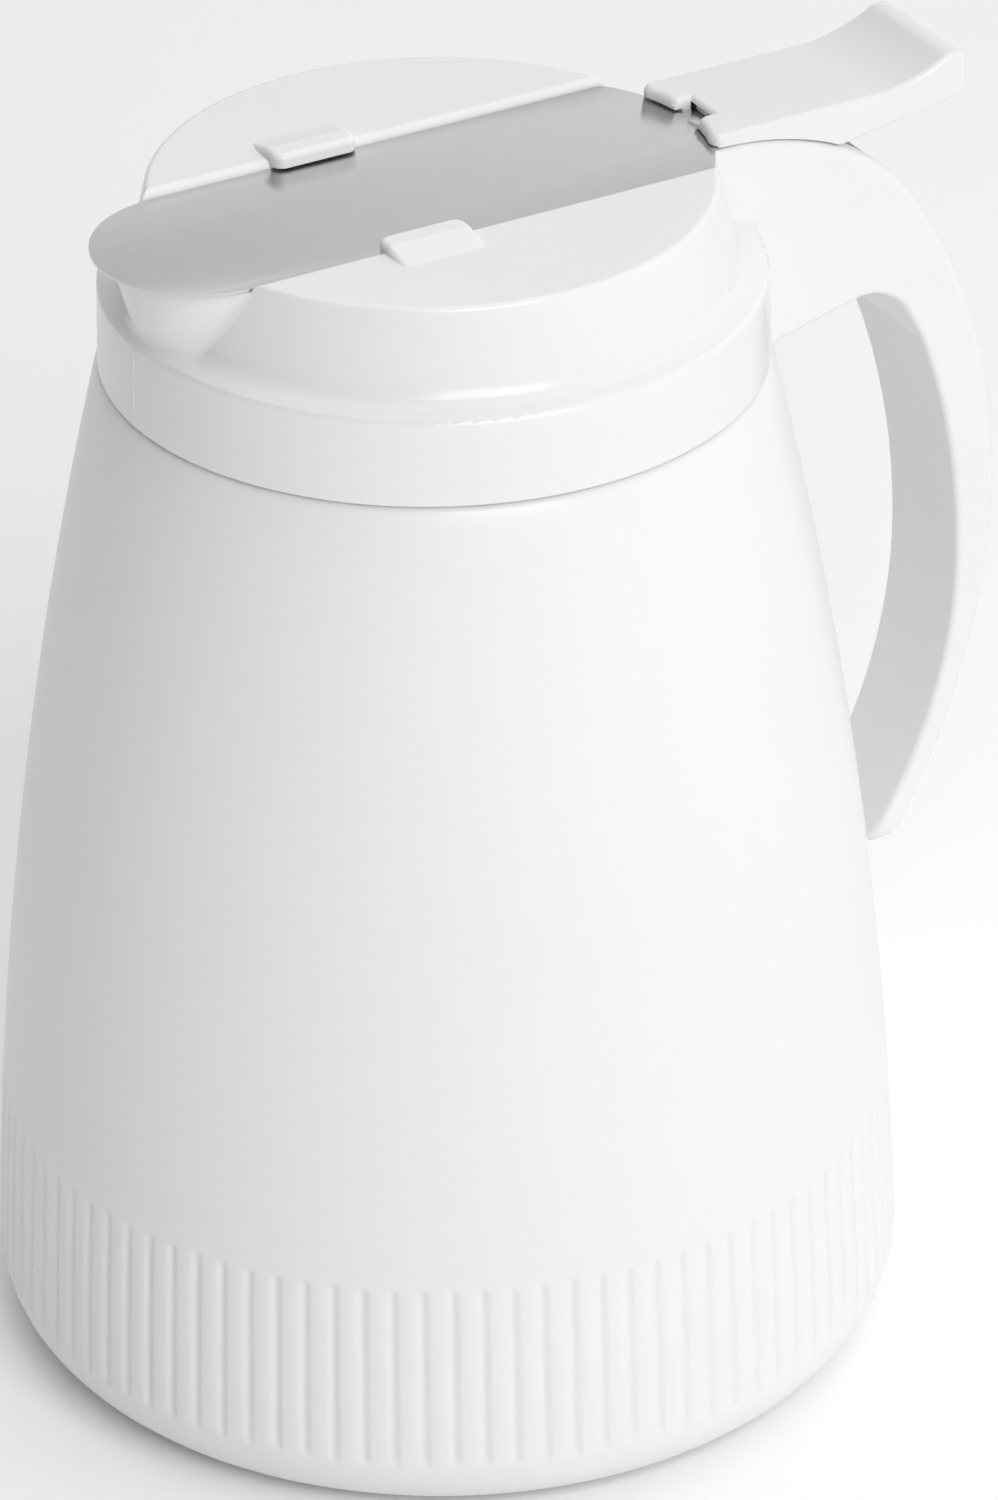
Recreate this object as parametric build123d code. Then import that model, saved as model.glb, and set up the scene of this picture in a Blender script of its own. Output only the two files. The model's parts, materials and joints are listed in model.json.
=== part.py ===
from build123d import *
import os
from math import asin, cos, pi, radians, sin, sqrt

# Syrup dispenser: a ribbed squeeze-proof jar with a screw-on top. The top carries a pouring spout,
# a grip handle, a steel slide that covers the spout, and a thumb lever that draws the slide back.
# Millimetres. +Z is up, the origin is the middle of the jar's foot on the table, the spout points
# to -X and the handle to +X. The XZ plane is the plane of symmetry.

# ---------------------------------------------------------------- jar
JAR_BASE_R = 65.5            # outside radius just above the rounded foot
JAR_CORNER_R = 12.0          # rounding between foot and wall
JAR_FOOT_WIDTH = 4.0         # width of the flat standing ring inside that rounding
JAR_WAIST_R = 60.5           # outside radius halfway up
JAR_WAIST_Z = 75.0
JAR_SHOULDER_Z = 150.4       # top of the wall
JAR_SHOULDER_RISE = 2.15     # from there to the neck's root
JAR_SHOULDER_DRAFT = 0.4     # how far the shoulder leans in over that height
JAR_SHOULDER_LEDGE = 0.7     # how far the shoulder stands out past the skirt
JAR_SHOULDER_ROUND = 1.6     # rounding over the shoulder
JAR_WALL = 1.7
JAR_PUNT = 2.6               # how far the middle of the base is pushed up
JAR_BASE_THICK = 2.2

NECK_R = 42.9                # outside radius of the neck between the threads
NECK_WALL = 1.9
NECK_HEIGHT = 9.85

RIB_COUNT = 96               # grooves round the foot of the jar, with ribs left between them
RIB_BAND_LOW_Z = 10.6
RIB_BAND_HIGH_Z = 39.4
GROOVE_ROUND_R = 0.85        # radius of a groove's section
GROOVE_DEPTH = 0.38

# ---------------------------------------------------------------- screw thread
THREAD_PITCH = 5.0
THREAD_TURNS = 1.2
THREAD_DEPTH = 1.15          # height of the jar's ridge above the neck
THREAD_ROOT = 1.9            # width of a ridge at its root
THREAD_CREST = 0.9           # width of a ridge at its crest
THREAD_SINK = 0.3            # how deep a ridge's root lies in its wall
THREAD_GAP = 0.5             # radial clearance between a crest and the other root
THREAD_START = 1.45          # height above the neck's root where a ridge starts

# ---------------------------------------------------------------- top: skirt, shoulder, collar
SKIRT_GAP = 0.35             # between the jar's shoulder and the skirt's lower edge
SKIRT_WALL = 1.95            # at the lower edge
SKIRT_DRAFT = 0.3            # how far the skirt leans in
SKIRT_ROOF = 1.3             # from the seal up to the skirt's upper edge
SKIRT_EDGE_ROUND = 1.0
VALLEY_WIDTH = 3.9           # from the skirt in to where the shoulder meets the collar
VALLEY_RISE = 1.2            # from the skirt's upper edge to there
VALLEY_ROUND = 3.0
COLLAR_HEIGHT = 12.3
COLLAR_DRAFT = 3.1           # how far the collar leans in
COLLAR_WALL = 2.0
LID_EDGE_ROUND = 0.8
LID_THICK = 1.8
CHANNEL_FLOOR_THICK = 2.0
SEAL_THICK = 1.5             # flat ring between the neck's lip and the top
SEAL_SIDE_GAP = 0.55         # between the seal and the skirt
SEAL_STEP = 0.2              # the seal's bore is this much wider than the neck's, in radius

# ---------------------------------------------------------------- steel slide
SLIDE_THICK = 0.5
SLIDE_HALF = 15.4            # half the slide's width, and the radius of its front end
SLIDE_REACH = 2.8            # how far its front end reaches past the spout
SLIDE_REAR_REACH = 1.9       # how far its rear edge reaches past the lid's rim
SLIDE_REAR_ROUND = 24.0      # the slide's rear edge is an arc of this radius
SLIDE_RECESS = 0.9           # how far the slide's face lies below the lid's
SLIDE_CORNER_ROUND = 1.2     # rounding of the slide's two rear corners
SLIDE_SIDE_GAP = 0.4
SLIDE_CAP_GAP = 0.2          # gap between the slide and whatever reaches over it
CHANNEL_EDGE_ROUND = 1.3     # rounding of the lid's edges along the slide
TONGUE_HALF = 2.4            # half the width of the tongue behind the slide
TONGUE_LENGTH = 2.1          # from the slide's rear edge to the cross piece
HOOK_HALF = 4.6              # half the width of the cross piece at the tongue's end
HOOK_RISE = 0.6              # how far the cross piece stands above the slide
RELIEF_R = 0.55              # round relief holes at the tongue's root

# ---------------------------------------------------------------- tabs that hold the slide down
TAB_MID_X = -10.0
TAB_LENGTH = 13.0
TAB_OVERLAP = 1.3            # how far a tab reaches over the slide
TAB_FLAT = 3.3               # width of its flat top
TAB_SLOPE = 6.2              # width of the slope from there down to the lid
TAB_RISE = 1.3               # height above the lid
TAB_SINK = 0.4               # how deep its foot lies in the lid
TAB_ROUND = 0.9
TAB_CORNER_ROUND = 1.8       # rounding of its two upright corners over the slide

# ---------------------------------------------------------------- spout
SPOUT_INSET = 7.2            # centre of the spout's upper arc, inside the lid's rim
SPOUT_LOW_R = 12.2
SPOUT_DRAFT = 0.6            # how far the lower arc's centre lies outside the upper one's
SPOUT_ROOT = 1.6             # how deep the spout's cone reaches into the shoulder
SPOUT_WALL = 1.5
SPOUT_BLEND = 2.2            # rounding between the spout and the collar
SPOUT_FLOOR_RISE = 1.6       # from the shoulder to the bottom of the pouring hole
SPOUT_BACK = 5.0             # from the upper arc's centre back to the hole's rear edge

# ---------------------------------------------------------------- head and handle
# Places in the head, the handle and the lever are measured from the lid's rim at the handle's
# side: X outwards from the rim and Z upwards from the lid's face.
HEAD_HALF = 10.3             # half the width of the head
HEAD_EDGE_ROUND = 0.9        # rounding along the edges of the head and the handle
HEAD_BLEND = 1.5             # rounding where the head meets the collar
GRIP_END_HALF = 8.4          # half the width at the handle's end
GRIP_TAPER_Z = -28.7         # the handle narrows below this height
GRIP_END_Z = -122.5
GRIP_END_ROUND = 3.6
GRIP_THICK = 5.7             # of the handle, between its furthest points
GRIP_END_THICK = 4.1
HEAD_CROWN_X = 7.3           # top and radius of the arc over the head
HEAD_CROWN_TOP_Z = -2.8
HEAD_CROWN_R = 29.9
HEAD_BROW_R = 44.8           # radius of the flatter arc under the lever, which meets that arc
BACK_BULGE_X = 47.1          # furthest point of the handle's back
BACK_BULGE_Z = -66.7
BACK_END_X = 31.2
PALM_BULGE_Z = -77.7         # height of the furthest point of the handle's inner side
PALM_TOP_IN = 7.0            # how far that side's upper end lies in from there
PALM_TOP_Z = -39.7
ARCH_X = 28.8                # corner of the arch between handle and head, before rounding
ARCH_Z = -28.7
ARCH_ROUND = 8.0
NOSE_Z = -34.8               # corner of the head's lower nose, before rounding
NOSE_ROUND = 3.0
NOSE_GAP = 0.6               # between the nose and the jar
HEAD_FRONT_X = -1.2          # hidden in the collar

# ---------------------------------------------------------------- thumb lever
PIVOT_X = 13.3
PIVOT_Z = -27.2
LEVER_TRAVEL_DEG = 36.0
LEVER_GAP = 0.35             # between the lever and the head
LEVER_TOP_Z = 0.8
LEVER_PAD_END_X = 24.8       # the pad starts to curve up here
LEVER_CREST_X = 38.3         # top of the upturned tail
LEVER_CREST_Z = 4.3
LEVER_CREST_R = 3.4          # radius of the roll over that top
LEVER_END_X = 40.6
LEVER_END_LOW_Z = -2.5
LEVER_END_ROUND = 1.7
LEVER_HEEL_X = 20.5          # where the underside leaves the head
LEVER_EDGE_ROUND = 1.0
LEVER_LIP = 0.7              # how far the lever's front reaches over the slide
LEVER_CORNER_ROUND = 1.6     # rounding of the front's upright corners
LEVER_NOSE_DROP = 0.9        # how far the block that takes the cross piece reaches below the slide
NOTCH_GAP = 0.5              # at each side of the tongue, in the lever's notch
HOOK_PUSH_GAP = 0.45         # between the cross piece and the wall that pushes it
HOOK_ROOM = 2.65             # length of the room behind that wall
HOOK_ROOM_GAP = 0.35         # between the cross piece's top and that room's
LEG_OUTER_Y = 6.2
LEG_THICK = 2.2
LEG_WIDTH = 6.0              # from front to back, below the bend
LEG_BEND_RISE = 13.7         # height of the bend above the pivot
LEG_HIGH_WIDTH = 5.0         # from front to back, above the bend
LEG_HIGH_RISE = 20.0         # height above the pivot where the leg is upright again
LEG_LEAN = 2.5               # how far it leans forward in the bend
LEG_WEB_RISE = 4.0           # lower edge of the web that joins the two legs in front
BOSS_R = 3.5
POCKET_GAP = 0.5             # room round the lever's legs inside the head

# ---------------------------------------------------------------- pin and spring
PIN_R = 1.5
PIN_RUN_GAP = 0.05           # running fit in the lever
PIN_SEAT_GAP = 0.02          # close fit in the head
PIN_COVER = 1.3              # the hole stops this short of the near cheek's face
PIN_PROUD_INSET = 0.3        # how far the pin's end lies inside the far cheek's face
WIRE_R = 0.4
COIL_GAP = 0.55              # between the coil and the pin
COIL_TURNS = 4.5
COIL_PITCH = 1.25
SPRING_LONG_LEG = 8.0        # bears on the lever's web
SPRING_SHORT_LEG = 2.0
SPRING_REST_GAP = 0.05       # between that leg and the web
ARCS_PER_TURN = 4            # pairs of arcs that make up one turn of the coil
GAP_POINTS = 6               # points taken along each arc when the coil's gap is measured


def at(x, z, y=0.0):
    return Vector(x, y, z)


JAR_FOOT_R = JAR_BASE_R - JAR_CORNER_R
JAR_BASE_Z = JAR_CORNER_R
NECK_BASE_Z = JAR_SHOULDER_Z + JAR_SHOULDER_RISE
NECK_TOP_Z = NECK_BASE_Z + NECK_HEIGHT
NECK_BORE_R = NECK_R - NECK_WALL
THREAD_START_Z = NECK_BASE_Z + THREAD_START
SEAT_Z = NECK_TOP_Z + SEAL_THICK
SKIRT_BORE_R = NECK_R + THREAD_DEPTH + THREAD_GAP
SKIRT_LOW_R = SKIRT_BORE_R + SKIRT_WALL
SKIRT_LOW_Z = NECK_BASE_Z + SKIRT_GAP
SKIRT_HIGH_R = SKIRT_LOW_R - SKIRT_DRAFT
SKIRT_HIGH_Z = SEAT_Z + SKIRT_ROOF
JAR_SHOULDER_R = SKIRT_LOW_R + JAR_SHOULDER_LEDGE
VALLEY_R = SKIRT_HIGH_R - VALLEY_WIDTH
VALLEY_Z = SKIRT_HIGH_Z + VALLEY_RISE
LID_R = VALLEY_R - COLLAR_DRAFT
LID_TOP_Z = VALLEY_Z + COLLAR_HEIGHT
SLIDE_TOP_Z = LID_TOP_Z - SLIDE_RECESS
CHANNEL_Z = SLIDE_TOP_Z - SLIDE_THICK
OVER_SLIDE_Z = SLIDE_TOP_Z + SLIDE_CAP_GAP
CHANNEL_HALF = SLIDE_HALF + SLIDE_SIDE_GAP
SPOUT_HIGH_R = CHANNEL_HALF
SPOUT_HIGH_X = SPOUT_INSET - LID_R
SPOUT_LOW_X = SPOUT_HIGH_X - SPOUT_DRAFT
SPOUT_LOW_Z = VALLEY_Z - SPOUT_ROOT
SLIDE_NOSE_X = SPOUT_HIGH_X - SPOUT_HIGH_R - SLIDE_REACH
SLIDE_NOSE_MID_X = SLIDE_NOSE_X + SLIDE_HALF
SLIDE_REAR_X = LID_R + SLIDE_REAR_REACH
SLIDE_REAR_MID_X = SLIDE_REAR_X - SLIDE_REAR_ROUND
HOOK_X = SLIDE_REAR_X + TONGUE_LENGTH
HEAD_LOW_Z = SKIRT_LOW_Z - LID_TOP_Z
HEAD_CROWN_Z = HEAD_CROWN_TOP_Z - HEAD_CROWN_R
PALM_BULGE_X = BACK_BULGE_X - GRIP_THICK
PALM_TOP_X = PALM_BULGE_X - PALM_TOP_IN
PALM_END_X = BACK_END_X - GRIP_END_THICK
LEVER_NOSE_LOW_Z = CHANNEL_Z - LEVER_NOSE_DROP - LID_TOP_Z
LEG_FRONT_X = PIVOT_X - BOSS_R
LEG_BACK_X = LEG_FRONT_X + LEG_WIDTH
LEG_BEND_Z = PIVOT_Z + LEG_BEND_RISE
LEG_HIGH_Z = PIVOT_Z + LEG_HIGH_RISE
LEG_HIGH_FRONT_X = LEG_FRONT_X - LEG_LEAN
LEG_HIGH_BACK_X = LEG_HIGH_FRONT_X + LEG_HIGH_WIDTH
COIL_R = PIN_R + WIRE_R + COIL_GAP
PIN_HIDDEN_Y = HEAD_HALF - PIN_COVER
HEAD = Pos(LID_R, 0, LID_TOP_Z)


def face_of(*lines):
    """A flat face bounded by these lines, joined end to end."""
    return Face(Wire([edge for line in lines for edge in line.edges()]))


def polygon(*points):
    return Face(Wire.make_polygon([at(x, z) for x, z in points], close=True))


def slab(face, half):
    """A face in the XZ plane thickened by half its width to each side."""
    return extrude(face, amount=half, both=True)


def drum(radius, low_z, high_z, x=0.0, y=0.0):
    return Pos(x, y, low_z) * Cylinder(radius, high_z - low_z, align=(Align.CENTER, Align.CENTER, Align.MIN))


def block(low, high):
    size = [b - a for a, b in zip(low, high)]
    return Pos(*low) * Box(*size, align=(Align.MIN, Align.MIN, Align.MIN))


def cross_pin(radius, low_y, high_y, x, z):
    """A round bar along Y."""
    bar = Cylinder(radius, high_y - low_y, align=(Align.CENTER, Align.CENTER, Align.MIN))
    return Pos(x, low_y, z) * Rot(-90, 0, 0) * bar


def ridge(root_r, start_z, outward):
    """A helical thread ridge on a wall of radius root_r, pointing out or in."""
    side = 1 if outward else -1
    path = Helix(THREAD_PITCH, THREAD_PITCH * THREAD_TURNS, root_r, center=(0, 0, start_z))
    root_x = root_r - side * THREAD_SINK
    crest_x = root_r + side * THREAD_DEPTH
    section = polygon(
        (root_x, start_z - THREAD_ROOT / 2),
        (crest_x, start_z - THREAD_CREST / 2),
        (crest_x, start_z + THREAD_CREST / 2),
        (root_x, start_z + THREAD_ROOT / 2),
    )
    return sweep(section, path=path, is_frenet=True)


# ---------------------------------------------------------------- jar
def foot_point(bend, angle):
    """A point of an arc of radius bend round the middle of the foot's rounding."""
    return at(JAR_FOOT_R + bend * cos(angle), JAR_BASE_Z - bend * sin(angle))


def jar_wall_arc(inset):
    """The long arc of the jar's wall, moved inwards by inset."""
    return ThreePointArc(
        at(JAR_BASE_R - inset, JAR_BASE_Z),
        at(JAR_WAIST_R - inset, JAR_WAIST_Z),
        at(JAR_SHOULDER_R - inset, JAR_SHOULDER_Z),
    )


def jar_outside():
    wall = jar_wall_arc(0)
    corner = ThreePointArc(
        foot_point(JAR_CORNER_R, pi / 2), foot_point(JAR_CORNER_R, pi / 4), foot_point(JAR_CORNER_R, 0)
    )
    shoulder = FilletPolyline(
        wall @ 1,
        at(JAR_SHOULDER_R - JAR_SHOULDER_DRAFT, NECK_BASE_Z),
        at(NECK_R, NECK_BASE_Z),
        radius=JAR_SHOULDER_ROUND,
    )
    ring_in = JAR_FOOT_R - JAR_FOOT_WIDTH
    return face_of(
        Line(at(0, JAR_PUNT), at(ring_in - JAR_PUNT, JAR_PUNT)),
        Line(at(ring_in - JAR_PUNT, JAR_PUNT), at(ring_in, 0)),
        Line(at(ring_in, 0), at(JAR_FOOT_R, 0)),
        corner,
        wall,
        shoulder,
        Line(at(NECK_R, NECK_BASE_Z), at(NECK_R, NECK_TOP_Z)),
        Line(at(NECK_R, NECK_TOP_Z), at(0, NECK_TOP_Z)),
        Line(at(0, NECK_TOP_Z), at(0, JAR_PUNT)),
    )


def jar_inside():
    """What the jar holds, from its floor to above the neck's lip."""
    wall = jar_wall_arc(JAR_WALL)
    floor_z = JAR_PUNT + JAR_BASE_THICK
    bend = JAR_CORNER_R - JAR_WALL
    low = asin((JAR_BASE_Z - floor_z) / bend)
    corner = ThreePointArc(foot_point(bend, low), foot_point(bend, low / 2), foot_point(bend, 0))
    neck_in = at(NECK_BORE_R, NECK_BASE_Z - JAR_SHOULDER_ROUND)
    above = NECK_TOP_Z + JAR_WALL
    return face_of(
        Line(at(0, floor_z), corner @ 0),
        corner,
        wall,
        Line(wall @ 1, neck_in),
        Line(neck_in, at(NECK_BORE_R, above)),
        Line(at(NECK_BORE_R, above), at(0, above)),
        Line(at(0, above), at(0, floor_z)),
    )


def jar_groove():
    """One groove of the ribbed band: a round bar that follows the jar, mostly outside it."""
    outside = GROOVE_ROUND_R - GROOVE_DEPTH
    share = (RIB_BAND_HIGH_Z - JAR_BASE_Z) / (JAR_SHOULDER_Z - JAR_BASE_Z)
    upper = Edge(jar_wall_arc(-outside).wrapped).trim(0, share)
    drop = asin((JAR_BASE_Z - RIB_BAND_LOW_Z) / JAR_CORNER_R)
    bend = JAR_CORNER_R + outside
    lower = ThreePointArc(foot_point(bend, drop), foot_point(bend, drop / 2), foot_point(bend, 0))
    bar = None
    for path in (lower, upper):
        piece = sweep(Plane(path @ 0, z_dir=path % 0) * Circle(GROOVE_ROUND_R), path=path)
        bar = piece if bar is None else bar + piece
    for middle in (lower @ 0, upper @ 0, upper @ 1):
        bar += Pos(*middle) * Sphere(GROOVE_ROUND_R)
    return bar


def make_jar():
    body = revolve(jar_outside(), axis=Axis.Z) - revolve(jar_inside(), axis=Axis.Z)
    body += ridge(NECK_R, THREAD_START_Z, outward=True)
    groove = jar_groove()
    step = 360 / RIB_COUNT
    grooves = [Rot(0, 0, step * (i + 0.5)) * groove for i in range(RIB_COUNT)]
    return body.cut(*grooves)


# ---------------------------------------------------------------- top body
def collar_r(z):
    """Outside radius of the sloping collar at height z."""
    return LID_R + (VALLEY_R - LID_R) * (LID_TOP_Z - z) / (LID_TOP_Z - VALLEY_Z)


def top_outside():
    rim = FilletPolyline(
        at(SKIRT_LOW_R, SKIRT_LOW_Z),
        at(SKIRT_HIGH_R, SKIRT_HIGH_Z),
        at(VALLEY_R, VALLEY_Z),
        at(LID_R, LID_TOP_Z),
        at(0, LID_TOP_Z),
        radius=[SKIRT_EDGE_ROUND, VALLEY_ROUND, LID_EDGE_ROUND],
    )
    return revolve(
        face_of(
            rim,
            Line(at(0, LID_TOP_Z), at(0, SKIRT_LOW_Z)),
            Line(at(0, SKIRT_LOW_Z), at(SKIRT_LOW_R, SKIRT_LOW_Z)),
        ),
        axis=Axis.Z,
    )


def top_inside():
    """The room under the top: the neck's socket and the hollow collar above it."""
    ceiling_z = CHANNEL_Z - CHANNEL_FLOOR_THICK
    socket_low_z = SKIRT_LOW_Z - COLLAR_WALL
    inner_low = collar_r(SEAT_Z) - COLLAR_WALL
    inner_high = collar_r(ceiling_z) - COLLAR_WALL
    hollow = polygon(
        (0, socket_low_z),
        (SKIRT_BORE_R, socket_low_z),
        (SKIRT_BORE_R, SEAT_Z),
        (inner_low, SEAT_Z),
        (inner_high, ceiling_z),
        (0, ceiling_z),
    )
    room = revolve(hollow, axis=Axis.Z)
    side_top_z = LID_TOP_Z - LID_THICK
    side_y = CHANNEL_HALF + COLLAR_WALL
    upper = drum(collar_r(side_top_z) - COLLAR_WALL, ceiling_z, side_top_z)
    middle = block((-LID_R, -side_y, ceiling_z), (LID_R, side_y, side_top_z))
    return room + (upper - middle)


def spout_cone(inset, low_z, high_z):
    """The spout's sloping half cone, between two heights and moved inwards by inset."""
    rise = CHANNEL_Z - SPOUT_LOW_Z
    rings = []
    for z in (low_z, high_z):
        share = (z - SPOUT_LOW_Z) / rise
        radius = SPOUT_LOW_R + (SPOUT_HIGH_R - SPOUT_LOW_R) * share - inset
        middle = SPOUT_LOW_X + (SPOUT_HIGH_X - SPOUT_LOW_X) * share
        rings.append(Pos(middle, 0, z) * Circle(radius))
    return loft(rings, ruled=True)


def pouring_hole():
    cone = spout_cone(SPOUT_WALL, VALLEY_Z + SPOUT_FLOOR_RISE, CHANNEL_Z + SLIDE_THICK)
    reach = JAR_BASE_R
    keep = block((-reach, -reach, CHANNEL_Z - reach), (SPOUT_HIGH_X + SPOUT_BACK, reach, LID_TOP_Z))
    return cone & keep


def tab(side):
    """A guide tab that reaches over the slide's edge, on the side given as +1 or -1."""
    half = TAB_LENGTH / 2
    root_z = LID_TOP_Z - TAB_SINK
    top_z = LID_TOP_Z + TAB_RISE
    inner_y = SLIDE_HALF - TAB_OVERLAP
    flat_y = inner_y + TAB_FLAT
    outline = [
        (inner_y, OVER_SLIDE_Z),
        (inner_y, top_z),
        (flat_y, top_z),
        (flat_y + TAB_SLOPE, root_z),
        (CHANNEL_HALF, root_z),
        (CHANNEL_HALF, OVER_SLIDE_Z),
    ]
    corners = [Vector(TAB_MID_X - half, side * y, z) for y, z in outline]
    body = extrude(Face(Wire.make_polygon(corners, close=True)), amount=TAB_LENGTH, dir=(1, 0, 0))
    upright = body.edges().filter_by(Axis.Z).filter_by(lambda e: abs(e.center().Y) < SLIDE_HALF)
    body = fillet(upright, TAB_CORNER_ROUND)
    top_edges = body.edges().filter_by(lambda e: e.center().Z > LID_TOP_Z + TAB_SINK)
    return fillet(top_edges, TAB_ROUND)


def crown_z(x):
    """Height of the head's crown at x."""
    return HEAD_CROWN_Z + sqrt(HEAD_CROWN_R**2 - (x - HEAD_CROWN_X) ** 2)


def brow_arc(gap, front_x):
    """The flatter arc under the lever, raised by gap, from the lever's heel to front_x."""
    heel_x = (LEVER_HEEL_X - HEAD_CROWN_X) / HEAD_CROWN_R
    heel_z = (crown_z(LEVER_HEEL_X) - HEAD_CROWN_Z) / HEAD_CROWN_R
    middle_x = LEVER_HEEL_X - HEAD_BROW_R * heel_x
    middle_z = crown_z(LEVER_HEEL_X) - HEAD_BROW_R * heel_z
    radius = HEAD_BROW_R + gap
    points = [at(middle_x + radius * heel_x, middle_z + radius * heel_z)]
    for x in ((LEVER_HEEL_X + front_x) / 2, front_x):
        points.append(at(x, middle_z + sqrt(radius**2 - (x - middle_x) ** 2)))
    return ThreePointArc(*points)


def crown_meets_back():
    """Where the crown runs into the arc that leaves the back's furthest point upright."""
    out = BACK_BULGE_X - HEAD_CROWN_X
    up = BACK_BULGE_Z - HEAD_CROWN_Z
    back_r = (out**2 + up**2 - HEAD_CROWN_R**2) / (2 * (out - HEAD_CROWN_R))
    crown_middle = at(HEAD_CROWN_X, HEAD_CROWN_Z)
    away = crown_middle - at(BACK_BULGE_X - back_r, BACK_BULGE_Z)
    return crown_middle + away.normalized() * HEAD_CROWN_R


def head_side():
    """Side outline of the head and the handle. The nose's front is cut back to the jar later."""
    nose_x = SKIRT_HIGH_R - COLLAR_WALL - LID_R
    brow = brow_arc(0, HEAD_FRONT_X)
    crown_end = crown_meets_back()
    crown_mid_x = (LEVER_HEEL_X + crown_end.X) / 2
    crown = ThreePointArc(brow @ 0, at(crown_mid_x, crown_z(crown_mid_x)), crown_end)
    bulge = at(BACK_BULGE_X, BACK_BULGE_Z)
    back_high = TangentArc(bulge, crown_end, tangent=(0, 0, 1))
    back_low = TangentArc(bulge, at(BACK_END_X, GRIP_END_Z), tangent=(0, 0, -1))
    palm = at(PALM_BULGE_X, PALM_BULGE_Z)
    palm_low = TangentArc(palm, at(PALM_END_X, GRIP_END_Z), tangent=(0, 0, -1))
    palm_high = TangentArc(palm, at(PALM_TOP_X, PALM_TOP_Z), tangent=(0, 0, 1))
    under = FilletPolyline(
        at(PALM_TOP_X, PALM_TOP_Z),
        at(ARCH_X, ARCH_Z),
        at(nose_x, NOSE_Z),
        at(nose_x, HEAD_LOW_Z),
        radius=[ARCH_ROUND, NOSE_ROUND],
    )
    return face_of(
        brow,
        crown,
        back_high,
        back_low,
        Line(at(BACK_END_X, GRIP_END_Z), at(PALM_END_X, GRIP_END_Z)),
        palm_low,
        palm_high,
        under,
        Line(at(nose_x, HEAD_LOW_Z), at(HEAD_FRONT_X, HEAD_LOW_Z)),
        Line(at(HEAD_FRONT_X, HEAD_LOW_Z), brow @ 1),
    )


def head_front():
    """Front outline of the head and the handle, from the handle's end to above the crown."""
    corners = [
        (HEAD_HALF, LEVER_TOP_Z),
        (HEAD_HALF, GRIP_TAPER_Z),
        (GRIP_END_HALF, GRIP_END_Z),
        (-GRIP_END_HALF, GRIP_END_Z),
        (-HEAD_HALF, GRIP_TAPER_Z),
        (-HEAD_HALF, LEVER_TOP_Z),
    ]
    start_x = HEAD_FRONT_X - HEAD_HALF
    wire = Wire.make_polygon([Vector(start_x, y, z) for y, z in corners], close=True)
    body = extrude(Face(wire), amount=BACK_BULGE_X + HEAD_HALF - start_x, dir=(1, 0, 0))
    end_edges = body.edges().filter_by(Axis.X).sort_by(Axis.Z)[:2]
    return fillet(end_edges, GRIP_END_ROUND)


def lever_pocket():
    """The slot in the head that the lever's legs swing in."""
    half = LEG_OUTER_Y + POCKET_GAP
    turn = radians(LEVER_TRAVEL_DEG)

    def swung(x, z):
        dx, dz = x - PIVOT_X, z - PIVOT_Z
        return PIVOT_X + dx * cos(turn) + dz * sin(turn), PIVOT_Z - dx * sin(turn) + dz * cos(turn)

    low_back = swung(LEG_BACK_X, PIVOT_Z)
    mid_back = swung(LEG_BACK_X, LEG_BEND_Z)
    high_back = swung(LEG_HIGH_BACK_X, LEG_HIGH_Z)
    top_back = swung(LEG_HIGH_BACK_X, LEVER_TOP_Z)
    room = polygon(
        (LEG_FRONT_X - POCKET_GAP, PIVOT_Z),
        (LEG_FRONT_X - POCKET_GAP, LEG_BEND_Z),
        (LEG_HIGH_FRONT_X - POCKET_GAP, LEG_HIGH_Z),
        (LEG_HIGH_FRONT_X - POCKET_GAP, LEVER_NOSE_LOW_Z - POCKET_GAP),
        (SLIDE_REAR_REACH - POCKET_GAP, LEVER_NOSE_LOW_Z - POCKET_GAP),
        (SLIDE_REAR_REACH - POCKET_GAP, LEVER_TOP_Z),
        (top_back[0] + POCKET_GAP, LEVER_TOP_Z),
        (top_back[0] + POCKET_GAP, top_back[1]),
        (high_back[0] + POCKET_GAP, high_back[1]),
        (mid_back[0] + POCKET_GAP, mid_back[1]),
        (low_back[0] + 2 * POCKET_GAP, low_back[1]),
    )
    boss_room = cross_pin(BOSS_R + POCKET_GAP, -half, half, PIVOT_X, PIVOT_Z)
    return slab(room, half) + boss_room


def pin_hole():
    return cross_pin(PIN_R + PIN_SEAT_GAP, -PIN_HIDDEN_Y, HEAD_HALF + HEAD_EDGE_ROUND, PIVOT_X, PIVOT_Z)


def slide_channel():
    """The room along the slide, flared at the top so that the lid's edges are rounded."""
    flare = CHANNEL_EDGE_ROUND
    wall = Line((CHANNEL_HALF, CHANNEL_Z), (CHANNEL_HALF, LID_TOP_Z - flare))
    curve = RadiusArc(wall @ 1, (CHANNEL_HALF + flare, LID_TOP_Z), flare)
    rise = Line(curve @ 1, (CHANNEL_HALF + flare, LID_TOP_Z + flare))
    across = Line(rise @ 1, (0, LID_TOP_Z + flare))
    down = Line(across @ 1, (0, CHANNEL_Z))
    half = face_of(wall, curve, rise, across, down, Line((0, CHANNEL_Z), wall @ 0))
    start_x = SLIDE_NOSE_X - SLIDE_HALF
    length = SLIDE_REAR_X + SLIDE_HALF - start_x
    side = Plane(origin=(start_x, 0, 0), x_dir=(0, 1, 0), z_dir=(1, 0, 0)) * half
    cut = extrude(side, amount=length, dir=(1, 0, 0))
    return cut + mirror(cut, about=Plane.XZ)


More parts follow.
